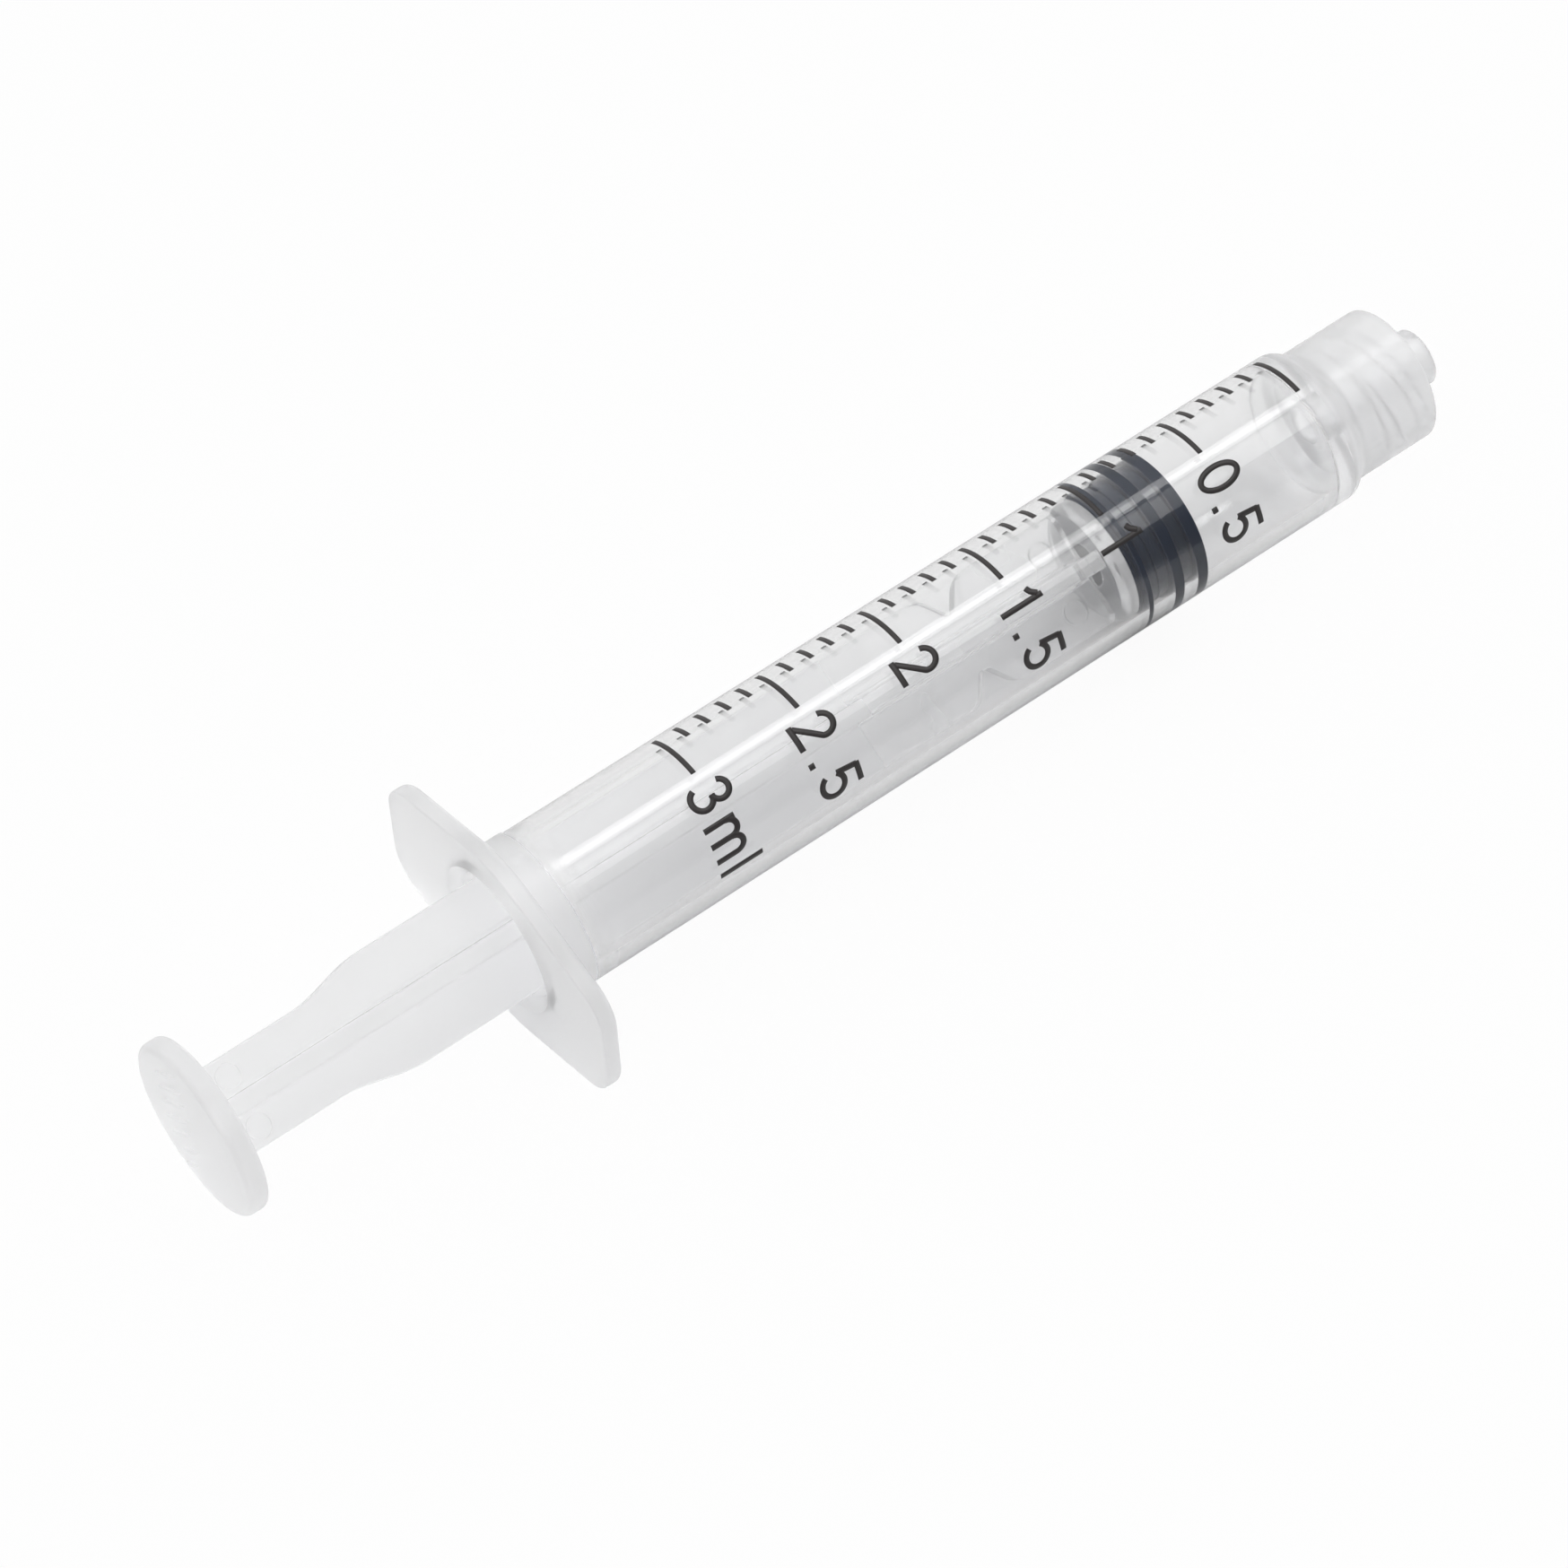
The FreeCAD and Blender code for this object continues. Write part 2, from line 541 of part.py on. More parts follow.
bodies = [make_barrel(), make_plunger_rod(), make_stopper()]
doc.recompute()
for item in doc.Objects:
    if "Invalid" in item.State or "Error" in item.State:
        raise RuntimeError(f"{item.Name} is {item.State}")
for body in bodies:
    if body.Shape.isNull() or not body.Shape.isValid() or len(body.Shape.Solids) != 1:
        raise RuntimeError(f"{body.Label} is not one valid solid")

os.makedirs("parts", exist_ok=True)
for body in bodies:
    body.Shape.exportStep(f"parts/{body.Label}.step")
    box = body.Shape.BoundBox
    print(f"{body.Label}: {body.Shape.Volume:.1f} mm3, X {box.XMin:.2f} to {box.XMax:.2f},"
          f" Y {box.YMin:.2f} to {box.YMax:.2f}, Z {box.ZMin:.2f} to {box.ZMax:.2f}")
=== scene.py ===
import json
import math

import bmesh
import bpy
import numpy as np
from mathutils import Matrix, Vector


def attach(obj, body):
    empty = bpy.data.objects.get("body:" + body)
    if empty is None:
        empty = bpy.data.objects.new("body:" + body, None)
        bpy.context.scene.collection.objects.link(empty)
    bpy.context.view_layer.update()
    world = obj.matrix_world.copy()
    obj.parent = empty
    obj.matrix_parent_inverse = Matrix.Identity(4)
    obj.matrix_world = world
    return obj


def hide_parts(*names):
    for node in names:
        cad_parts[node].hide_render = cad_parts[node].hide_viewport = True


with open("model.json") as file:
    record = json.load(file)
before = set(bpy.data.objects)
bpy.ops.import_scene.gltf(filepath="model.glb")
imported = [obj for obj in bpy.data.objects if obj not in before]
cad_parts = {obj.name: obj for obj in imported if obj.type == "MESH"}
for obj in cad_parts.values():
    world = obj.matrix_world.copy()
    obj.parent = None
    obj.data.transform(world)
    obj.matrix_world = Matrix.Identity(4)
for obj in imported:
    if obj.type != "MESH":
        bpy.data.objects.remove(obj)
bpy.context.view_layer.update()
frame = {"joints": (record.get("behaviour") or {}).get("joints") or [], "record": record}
scene = bpy.context.scene

# Camera
# It looks down on the syringe from beside the thumb disc, with the nozzle up to the right.
# Its angles and distance were worked out from the spacing of the scale's lines.
CAMERA_AZIMUTH = math.radians(-32.048)
CAMERA_ELEVATION = math.radians(55.049)
CAMERA_ROLL = math.radians(6.333)
CAMERA_DISTANCE = 0.41106
CAMERA_AIM = Vector((-0.004885, -0.002020, 0.007451))
CAMERA_LENS = 152.88  # millimetres on a sensor 36 mm wide


def aim_camera():
    """The camera's axes: forward from azimuth and elevation, sideways level, both turned by the roll."""
    flat = math.cos(CAMERA_ELEVATION)
    forward = Vector((-math.sin(CAMERA_AZIMUTH) * flat, math.cos(CAMERA_AZIMUTH) * flat,
                      -math.sin(CAMERA_ELEVATION)))
    level = forward.cross(Vector((0, 0, 1))).normalized()
    upright = level.cross(forward)
    right = level * math.cos(CAMERA_ROLL) - upright * math.sin(CAMERA_ROLL)
    up = right.cross(forward)
    turned = Matrix((right, up, -forward)).transposed()
    data = bpy.data.cameras.new("camera")
    data.sensor_width = 36
    data.lens = CAMERA_LENS
    data.clip_start = 0.01
    data.clip_end = 20
    camera = bpy.data.objects.new("camera", data)
    camera.matrix_world = (
        Matrix.Translation(CAMERA_AIM - forward * CAMERA_DISTANCE) @ turned.to_4x4())
    scene.collection.objects.link(camera)
    scene.camera = camera


aim_camera()
scene.view_settings.view_transform = "Standard"

# Studio
# A white table under two long overhead strip lights, a wide fill and a pale room.
# The camera finds the table almost plain white, with what is left of the syringe's shadow.
FLOOR_RADIUS = 1.6
FLOOR_SIDES = 96
FLOOR_COLOUR = (0.76, 0.76, 0.76, 1)
FLOOR_GLOW = 0.94  # share of the table that is plain white to the camera
ROOM_DIM = 0.34  # from the camera's side
ROOM_BRIGHT = 1.20  # from behind the syringe
ROOM_RISE = (-0.7, 0.8)  # where the room's light starts and stops growing, as Y of a direction
CLEAR_LAYERS = 24  # how many clear walls a ray may pass
SOFTBOXES = [
    # place, aim, length, width, watts
    ((0.22, 0.09, 0.50), (0.02, 0.0, 0.0), 0.55, 0.11, 0.75),
    ((0.20, -0.15, 0.50), (0.02, 0.0, 0.0), 0.55, 0.26, 0.60),
    ((-0.45, -0.12, 0.34), (0.0, 0.0, 0.0), 0.50, 0.50, 0.90),
]


class Signal:
    """A value that runs through a material. Arithmetic on signals adds Math nodes."""

    def __init__(self, finish, socket):
        self.finish = finish
        self.socket = socket

    def join(self, operation, first, second):
        """One Math node on two values or signals."""
        return self.finish.node("Math", {"operation": operation}, {0: first, 1: second})["Value"]

    def __add__(self, other):
        return self.join("ADD", self, other)

    def __mul__(self, other):
        return self.join("MULTIPLY", self, other)


class Outputs:
    """The outputs of one node, each read by its name or number as a signal."""

    def __init__(self, finish, made):
        self.finish = finish
        self.made = made

    def __getitem__(self, name):
        return Signal(self.finish, self.made.outputs[name])


class Finish:
    """The node tree of a material or of the room, filled by one method."""

    def __init__(self, owner):
        self.owner = owner
        owner.use_nodes = True
        self.tree = owner.node_tree
        self.tree.nodes.clear()

    def node(self, kind, settings, inputs):
        """Add a node of any kind: settings first, then a value or a signal for each socket."""
        made = self.tree.nodes.new("ShaderNode" + kind)
        for name, setting in settings.items():
            setattr(made, name, setting)
        for name, given in inputs.items():
            if isinstance(given, Signal):
                self.tree.links.new(given.socket, made.inputs[name])
            else:
                made.inputs[name].default_value = given
        return Outputs(self, made)

    def mix(self, share, first, second):
        """The first surface, with a share of it given to the second."""
        return self.node("MixShader", {}, {0: share, 1: first, 2: second})["Shader"]

    def ramp(self, value, start, end, low=0.0, high=1.0):
        """A soft step from low to high while the value goes from start to end."""
        return self.node("MapRange", {"interpolation_type": "SMOOTHSTEP"}, {
            "Value": value, "From Min": start, "From Max": end, "To Min": low, "To Max": high})["Result"]

    def noise(self, where, scale, detail):
        """Soft random patches from 0 to 1, scale of them to a metre."""
        return self.node("TexNoise", {}, {"Vector": where, "Scale": scale, "Detail": detail})["Fac"]

    def relief(self, height, strength, depth):
        """The normals that a height from 0 to 1 gives when it stands for a depth in metres."""
        return self.node("Bump", {}, {"Strength": strength, "Distance": depth, "Height": height})["Normal"]

    def end(self, surface, kind="OutputMaterial"):
        """Send the surface to the output and give back what it belongs to."""
        self.node(kind, {}, {"Surface": surface})
        return self.owner


def table_finish():
    """White paint that takes light and shadow, almost covered by plain white for the camera's own rays."""
    finish = Finish(bpy.data.materials.new("white_table"))
    seen = finish.node("LightPath", {}, {})["Is Camera Ray"]
    lit = finish.node("BsdfDiffuse", {}, {"Color": FLOOR_COLOUR})["BSDF"]
    plain = finish.node("Emission", {}, {"Strength": 1.0})["Emission"]
    return finish.end(finish.mix(seen * FLOOR_GLOW, lit, plain))


def room_finish(world):
    """An even light that grows from the camera's side to the wall behind the syringe."""
    finish = Finish(world)
    where = finish.node("TexCoord", {}, {})["Generated"]
    toward = finish.node("SeparateXYZ", {}, {"Vector": where})["Y"]
    strength = finish.ramp(toward, *ROOM_RISE, ROOM_DIM, ROOM_BRIGHT)
    light = finish.node("Background", {}, {"Strength": strength})["Background"]
    finish.end(light, "OutputWorld")


def add_softbox(place, aim, length, width, watts):
    """A lamp that faces its aim, with its length as near as can be to the frame's X."""
    data = bpy.data.lights.new("softbox", "AREA")
    data.shape = "RECTANGLE"
    data.size = length
    data.size_y = width
    data.energy = watts
    lamp = bpy.data.objects.new("softbox", data)
    back = (Vector(place) - Vector(aim)).normalized()
    across = back.cross(Vector((1, 0, 0))).normalized()
    turned = Matrix((across.cross(back), across, back)).transposed()
    lamp.matrix_world = Matrix.Translation(place) @ turned.to_4x4()
    scene.collection.objects.link(lamp)


def add_table():
    """A flat round table under the syringe, shown as part of the studio."""
    shape = bmesh.new()
    bmesh.ops.create_circle(shape, cap_ends=True, segments=FLOOR_SIDES, radius=FLOOR_RADIUS)
    mesh = bpy.data.meshes.new("table")
    shape.to_mesh(mesh)
    shape.free()
    mesh.materials.append(table_finish())
    table = bpy.data.objects.new("table", mesh)
    scene.collection.objects.link(table)


add_table()
for softbox in SOFTBOXES:
    add_softbox(*softbox)
scene.world = bpy.data.worlds.new("room")
room_finish(scene.world)
scene.cycles.transparent_max_bounces = CLEAR_LAYERS
scene.cycles.transmission_bounces = CLEAR_LAYERS
scene.cycles.max_bounces = CLEAR_LAYERS

# Barrel
# One moulding of clear polypropylene: finger flange, thickened mouth with its retaining bead,
# tube, necked shoulder, lock collar with a two-start thread, and the tapered nozzle inside it.
MM = 0.001
FLANGE_THICKNESS = 1.3
MOUNTS = {mount["name"]: mount for mount in frame["record"]["mounts"]}
ALONG = np.array(frame["joints"][0]["axis"])
SIDEWAYS = np.array((0.0, 1.0, 0.0))
UPWARD = np.cross(ALONG, SIDEWAYS)
REAR_FACE = np.array(MOUNTS["finger_flange"]["pos_m"]) - ALONG * FLANGE_THICKNESS * MM

TUBE_RADIUS = MOUNTS["barrel_body"]["dims"]["r_mm"]
LOCK_ROOT = MOUNTS["luer_lock"]["dims"]["r_mm"]
LOCK_DEPTH = MOUNTS["luer_lock"]["dims"]["length_mm"]
NOZZLE_TIP = MOUNTS["luer_tip"]["dims"]["r_mm"]
NOZZLE_LENGTH = MOUNTS["luer_tip"]["dims"]["length_mm"]
NOZZLE_WAY = MOUNTS["nozzle_way"]["dims"]["r_mm"]
NOZZLE_SLOPE = 0.03
BORE_RADIUS = 4.468
MOUTH_RADIUS = 5.2
MOUTH_DEPTH = 0.6
BEAD_RADIUS = 4.15
BEAD_STATIONS = (1.4, 1.9, 3.1, 3.6)
MOUTH_WALL = 5.45
MOUTH_WALL_END = 3.9
TUBE_END = 64.1
SHOULDER_END = 64.9
LOCK_FLOOR = 65.4
LOCK_OUTER = 4.7
BORE_END = 62.7
CONE_END = 63.8
FLANGE_REACH = 11.2
FLANGE_APEX = 7.8686
FLANGE_TAPER = math.radians(17.5)
FLANGE_CORNER = 3.0
FLANGE_MIDDLE_ROUND = 9.0
RIM = 30.0  # radius that stands for the flange's rim in the half section
BARREL_COLUMNS = 288
THREAD_ROWS = 90
THREAD_HEIGHT = 0.5
THREAD_PITCH = 2.5
THREAD_STARTS = 2
THREAD_CREST = 0.45
THREAD_FLANK = 0.5
THREAD_START_TURN = math.radians(20)
THREAD_FADE = 0.7  # length over which a ridge rises or dies out
THREAD_INNER_GAP = 1.1  # smooth wall at the collar's floor
THREAD_OUTER_GAP = 0.35  # smooth wall at its mouth
ARC_STEP = math.radians(9)  # largest turn of one step of a round
ARC_CHORD = 0.3  # largest length of one
SHARP_ANGLE = math.radians(38)
GATE_PLACE = 2.6  # small moulding mark on the mouth's wall
GATE_TURN = math.radians(80.7)
GATE_RADIUS = 0.5
GATE_DEPTH = 0.14
GATE_ROWS = 22

POLYPROPYLENE_TINT = (0.993, 0.994, 0.995, 1)
POLYPROPYLENE_MILK = (0.90, 0.90, 0.904, 1)
POLYPROPYLENE_SHADE = (0.90, 0.90, 0.905, 1)  # share of a lamp's light that one wall lets through
POLYPROPYLENE_IOR = 1.49
MILK_ROUGHNESS = 0.35
MILK_GLOW = 0.5  # share of the milk's light that comes from behind it
CLOUD_SCALE = 140.0
SKIN_SCALE = 500.0
SKIN_STRENGTH = 0.008
SKIN_DEPTH = 0.00002


def lay(x, y, z):
    """Metres in the frame from millimetres along, across and above the syringe's axis.
    The start is the middle of the flange's rear face."""
    x, y, z = (np.asarray(part, float)[..., None] * MM for part in (x, y, z))
    return REAR_FACE + x * ALONG + y * SIDEWAYS + z * UPWARD


def rounded(corners, closed=True):
    """A polyline through corners, each given as two coordinates and the radius of its round.
    A round is the arc that touches both sides of its corner. A closed line also rounds its ends."""
    spots = np.array([corner[:2] for corner in corners], float)
    radii = [corner[2] for corner in corners]
    count = len(spots)
    out = []
    for index in range(count):
        spot = spots[index]
        if radii[index] == 0 or (not closed and index in (0, count - 1)):
            out.append(spot[None])
            continue
        back = spots[index - 1] - spot
        ahead = spots[(index + 1) % count] - spot
        back /= np.linalg.norm(back)
        ahead /= np.linalg.norm(ahead)
        half = math.acos(np.clip(back @ ahead, -1, 1)) / 2
        reach = radii[index] / math.tan(half)
        middle = back + ahead
        middle /= np.linalg.norm(middle)
        centre = spot + middle * radii[index] / math.sin(half)
        start = spot + back * reach - centre
        turn = math.pi - 2 * half
        steps = max(2, math.ceil(turn / ARC_STEP), math.ceil(turn * radii[index] / ARC_CHORD))
        end = spot + ahead * reach - centre
        sign = 1 if start[0] * end[1] > start[1] * end[0] else -1
        angles = sign * np.linspace(0, turn, steps + 1)
        cosine, sine = np.cos(angles), np.sin(angles)
        out.append(centre + np.stack([cosine * start[0] - sine * start[1],
                                      sine * start[0] + cosine * start[1]], 1))
    return np.concatenate(out)


def even(points, count):
    """A closed polyline walked in equal steps, with the outward normal at each step."""
    loop = np.vstack([points, points[:1]])
    length = np.concatenate([[0], np.cumsum(np.linalg.norm(np.diff(loop, axis=0), axis=1))])
    where = np.linspace(0, length[-1], count, endpoint=False)
    walked = np.stack([np.interp(where, length, loop[:, axis]) for axis in (0, 1)], 1)
    tangent = np.roll(walked, -1, 0) - np.roll(walked, 1, 0)
    normal = np.stack([tangent[:, 1], -tangent[:, 0]], 1)
    normal /= np.linalg.norm(normal, axis=1)[:, None]
    outward = np.sign(np.sum(normal * walked, axis=1))[:, None]
    return walked, normal * outward


def grid_faces(rows, columns, close_rows, close_columns):
    """Four-cornered faces of a grid whose points are numbered row by row."""
    row = np.arange(rows if close_rows else rows - 1)[:, None]
    column = np.arange(columns if close_columns else columns - 1)[None]
    next_row = (row + 1) % rows
    next_column = (column + 1) % columns
    corners = [row * columns + column, row * columns + next_column,
               next_row * columns + next_column, next_row * columns + column]
    return np.stack([np.broadcast_to(corner, (row.size, column.size)) for corner in corners],
                    -1).reshape(-1, 4)


def mesh_of(name, points, faces):
    """A mesh of points and faces with poles and seams merged and normals outward."""
    mesh = bpy.data.meshes.new(name)
    mesh.from_pydata(points.reshape(-1, 3).tolist(), [], faces.tolist())
    shape = bmesh.new()
    shape.from_mesh(mesh)
    bmesh.ops.remove_doubles(shape, verts=shape.verts, dist=1e-7)
    bmesh.ops.dissolve_degenerate(shape, edges=shape.edges, dist=1e-8)
    bmesh.ops.recalc_face_normals(shape, faces=shape.faces)
    shape.to_mesh(mesh)
    shape.free()
    return mesh


def piece(name, mesh, material, body, node=None):
    """Put a finished mesh on show: smooth apart from its sharp edges, riding on its body."""
    mesh.materials.clear()
    mesh.materials.append(material)
    mesh.shade_smooth()
    mesh.set_sharp_from_angle(angle=SHARP_ANGLE)
    thing = bpy.data.objects.new(name, mesh)
    scene.collection.objects.link(thing)
    even_shading = thing.modifiers.new("even_shading", "WEIGHTED_NORMAL")
    even_shading.keep_sharp = True
    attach(thing, body)
    if node:
        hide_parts(node)
    return thing


def clear_plastic(name, haze, roughness, cloudy_ends):
    """Clear polypropylene: refraction with some white haze in slow flow clouds, open to the lamps' rays.
    Towards each end the moulding turns cloudy and satin. From an end's first place along X to its second,
    the haze grows by its third value and the roughness by its fourth."""
    finish = Finish(bpy.data.materials.new(name))
    where = finish.node("TexCoord", {}, {})["Object"]
    along = finish.node("SeparateXYZ", {}, {"Vector": where})["X"]
    clouds = finish.noise(where, CLOUD_SCALE, 2.0)
    skin = finish.relief(finish.noise(where, SKIN_SCALE, 1.0), SKIN_STRENGTH, SKIN_DEPTH)
    cloudy = haze / 2
    satin = roughness
    for clear_place, cloudy_place, more_haze, more_roughness in cloudy_ends:
        end = finish.ramp(along, clear_place * MM, cloudy_place * MM)
        cloudy = end * more_haze + cloudy
        satin = end * more_roughness + satin
    clear = finish.node("BsdfPrincipled", {}, {
        "Base Color": POLYPROPYLENE_TINT, "Transmission Weight": 1.0, "IOR": POLYPROPYLENE_IOR,
        "Roughness": satin, "Normal": skin})["BSDF"]
    milk = finish.node("BsdfPrincipled", {}, {
        "Base Color": POLYPROPYLENE_MILK, "Roughness": MILK_ROUGHNESS, "Normal": skin})["BSDF"]
    glow = finish.node("BsdfTranslucent", {}, {"Color": POLYPROPYLENE_MILK})["BSDF"]
    milky = finish.mix(MILK_GLOW, milk, glow)
    body = finish.mix(clouds * haze + cloudy, clear, milky)
    rays = finish.node("LightPath", {}, {})
    through = finish.node("BsdfTransparent", {}, {"Color": POLYPROPYLENE_SHADE})["BSDF"]
    return finish.end(finish.mix(rays["Is Shadow Ray"], body, through))


def flange_outline():
    """A hexagon long in Y, its four wing corners and two middle corners rounded, walked in even steps."""
    wing_end = FLANGE_APEX - FLANGE_REACH * math.tan(FLANGE_TAPER)
    corners = [(0, FLANGE_APEX, FLANGE_MIDDLE_ROUND)]
    corners += [(FLANGE_REACH, wing_end, FLANGE_CORNER), (FLANGE_REACH, -wing_end, FLANGE_CORNER)]
    corners += [(0, -FLANGE_APEX, FLANGE_MIDDLE_ROUND)]
    corners += [(-FLANGE_REACH, -wing_end, FLANGE_CORNER), (-FLANGE_REACH, wing_end, FLANGE_CORNER)]
    return even(rounded(corners), BARREL_COLUMNS)


def thread_height(x, turn):
    """Height of the lock thread: ridges one pitch apart along the axis, moved on by the lead each turn."""
    lead = THREAD_PITCH * THREAD_STARTS
    phase = (x - lead * (turn + THREAD_START_TURN) / (2 * math.pi)) / THREAD_PITCH
    off_crest = np.abs(phase - np.round(phase)) * THREAD_PITCH - THREAD_CREST / 2
    ridge = 1 - np.clip(off_crest / THREAD_FLANK, 0, 1)
    ridge = ridge * ridge * (3 - 2 * ridge)
    mouth = LOCK_FLOOR + LOCK_DEPTH
    rise = np.clip((x - LOCK_FLOOR - THREAD_INNER_GAP) / THREAD_FADE, 0, 1)
    run_out = np.clip((mouth - THREAD_OUTER_GAP - x) / THREAD_FADE, 0, 1)
    return THREAD_HEIGHT * ridge * run_out * rise


def gate_depth(x, turn):
    """Depth of the gate mark: a parabola over the distance from the middle of the mark, along the wall."""
    off_gate = np.hypot(x - GATE_PLACE, (turn - GATE_TURN) * MOUTH_WALL) / GATE_RADIUS
    return GATE_DEPTH * np.clip(1 - off_gate ** 2, 0, 1)


def with_rows(section, radius, count):
    """The section with even rows of points added to its longest straight stretch at a radius."""
    at_radius = np.isclose(section[:, 1], radius)
    stretch = np.abs(np.diff(section[:, 0])) * (at_radius[:-1] & at_radius[1:])
    start = int(np.argmax(stretch))
    places = np.linspace(section[start, 0], section[start + 1, 0], count + 2)[1:-1]
    rows = np.stack([places, np.full(count, radius)], 1)
    return np.concatenate([section[:start + 1], rows, section[start + 1:]])


def barrel_mesh():
    """The closed half section, each of its points carried round the axis. The points near the radius RIM
    follow the flange's outline instead, set in from it by how far they lie below RIM."""
    lock_end = LOCK_FLOOR + LOCK_DEPTH
    nozzle_end = LOCK_FLOOR + NOZZLE_LENGTH
    nozzle_root = NOZZLE_TIP + NOZZLE_SLOPE * NOZZLE_LENGTH
    bead_rise, bead_top, bead_fall, bead_end = BEAD_STATIONS
    inside = [
        (0, MOUTH_RADIUS, 0.08), (MOUTH_DEPTH, BORE_RADIUS, 0.3),
        (bead_rise, BORE_RADIUS, 0.3), (bead_top, BEAD_RADIUS, 0.3),
        (bead_fall, BEAD_RADIUS, 0.3), (bead_end, BORE_RADIUS, 0.3),
        (BORE_END, BORE_RADIUS, 0.3), (CONE_END, NOZZLE_WAY, 0.4),
        (nozzle_end, NOZZLE_WAY, 0.1), (nozzle_end, NOZZLE_TIP, 0.22),
        (LOCK_FLOOR, nozzle_root, 0.25), (LOCK_FLOOR, LOCK_ROOT, 0.25),
    ]
    outside = [
        (lock_end, LOCK_ROOT, 0.15), (lock_end, LOCK_OUTER, 0.28),
        (SHOULDER_END, LOCK_OUTER, 0.8), (TUBE_END, TUBE_RADIUS, 1.0),
        (MOUTH_WALL_END, TUBE_RADIUS, 0.3), (MOUTH_WALL_END - 0.3, MOUTH_WALL, 0.3),
        (FLANGE_THICKNESS, MOUTH_WALL, 0.35), (FLANGE_THICKNESS, RIM, 0.55), (0, RIM, 0.14),
    ]
    section = with_rows(rounded(inside + outside), LOCK_ROOT, THREAD_ROWS)
    section = with_rows(section, MOUTH_WALL, GATE_ROWS)
    on_lock = np.isclose(section[:, 1:], LOCK_ROOT)
    on_mouth = np.isclose(section[:, 1:], MOUTH_WALL)
    on_rim = section[:, 1] > RIM - 1

    outline, normal = flange_outline()
    turn = np.arctan2(outline[:, 1], outline[:, 0])
    x = np.repeat(section[:, :1], BARREL_COLUMNS, 1)
    radius = np.repeat(section[:, 1:], BARREL_COLUMNS, 1)
    radius = radius - on_lock * thread_height(x, turn[None]) - on_mouth * gate_depth(x, turn[None])
    y = radius * np.cos(turn)
    z = radius * np.sin(turn)
    inset = (RIM - section[on_rim, 1])[:, None]
    y[on_rim] = outline[:, 0] - inset * normal[:, 0]
    z[on_rim] = outline[:, 1] - inset * normal[:, 1]
    faces = grid_faces(len(section), BARREL_COLUMNS, True, True)
    return mesh_of("barrel_moulding", lay(x, y, z), faces)


BARREL_HAZE = 0.005
BARREL_ROUGHNESS = 0.06
BARREL_CLOUDS = ((-19.5, -23.0, 0.38, 0.30), (35.5, 39.5, 0.34, 0.17))  # the flange's end, the nozzle's end
barrel_plastic = clear_plastic("clear_polypropylene", BARREL_HAZE, BARREL_ROUGHNESS, BARREL_CLOUDS)
piece("barrel_moulding", barrel_mesh(), barrel_plastic, "barrel", "barrel")

# Stopper
# Moulded black-blue rubber with three sealing rings and a front cone.
# Its cavity is stretched over the barbed head of the plunger rod.
STOPPER_BACK = 46.687
RING_PRESS = 0.008  # how far the squeezed rings sit into the face of the bore
RING_RADIUS = BORE_RADIUS + RING_PRESS
STOPPER_BODY = 4.1
STOPPER_LENGTH = 5.25
RINGS = ((0.35, 0.85), (2.45, 3.35), (4.3, STOPPER_LENGTH))
FLASH_PLACE = 1.6  # parting line of the mould, between the first two rings
FLASH_HALF = 0.07
FLASH_RISE = 0.12
CONE_FOOT = 4.2
CONE_HEIGHT = 1.15
CONE_TIP = 0.6
NECK_HOLE = 1.55
HEAD_HOLE = 2.45
HEAD_TIP_HOLE = 1.55
CAVITY = (1.1, 1.8, 3.35)
RUBBER_DARK = (0.006, 0.011, 0.024, 1)
RUBBER_LIGHT = (0.014, 0.022, 0.044, 1)
RUBBER_PATCH_SCALE = 300.0
RUBBER_PATCH_ROUGHNESS = 0.05
RUBBER_GRAIN_SCALE = 2600.0
RUBBER_GRAIN_STRENGTH = 0.01
RUBBER_GRAIN_DEPTH = 0.00003
RUBBER_ROUGHNESS = 0.30
RUBBER_SHEEN = 0.3
ROUND_COLUMNS = 192


def turned_mesh(name, section, back=0.0):
    """A half section from axis to axis, carried once round the syringe's axis."""
    turn = np.linspace(0, 2 * math.pi, ROUND_COLUMNS, endpoint=False)
    x = np.repeat(section[:, :1] + back, ROUND_COLUMNS, 1)
    y = section[:, 1:] * np.cos(turn)
    z = section[:, 1:] * np.sin(turn)
    return mesh_of(name, lay(x, y, z), grid_faces(len(section), ROUND_COLUMNS, False, True))


def stopper_mesh():
    """Half section: the cavity from its blind end to the rear face, then the rings with grooves between
    them and the parting line in the first groove, then the cone."""
    shoulder, land, blind = CAVITY
    section = [
        (blind, 0, 0), (blind, HEAD_TIP_HOLE, 0.3), (land, HEAD_HOLE, 0.2), (shoulder, HEAD_HOLE, 0.1),
        (shoulder, NECK_HOLE, 0.15), (0, NECK_HOLE, 0.15), (0, STOPPER_BODY, 0.12),
    ]
    for start, end in RINGS:
        foot = CONE_FOOT if end == STOPPER_LENGTH else STOPPER_BODY
        foot_round = 0.08 if end == STOPPER_LENGTH else 0.1
        section += [(start, STOPPER_BODY, 0.1), (start, RING_RADIUS, 0.12),
                    (end, RING_RADIUS, 0.12), (end, foot, foot_round)]
        if start == RINGS[0][0]:
            section += [(FLASH_PLACE - FLASH_HALF, STOPPER_BODY, 0),
                        (FLASH_PLACE, STOPPER_BODY + FLASH_RISE, 0.02),
                        (FLASH_PLACE + FLASH_HALF, STOPPER_BODY, 0)]
    cone_end = STOPPER_LENGTH + CONE_HEIGHT
    section += [(cone_end, CONE_TIP, 0.4), (cone_end, 0, 0)]
    return turned_mesh("rubber_stopper", rounded(section, closed=False), STOPPER_BACK)


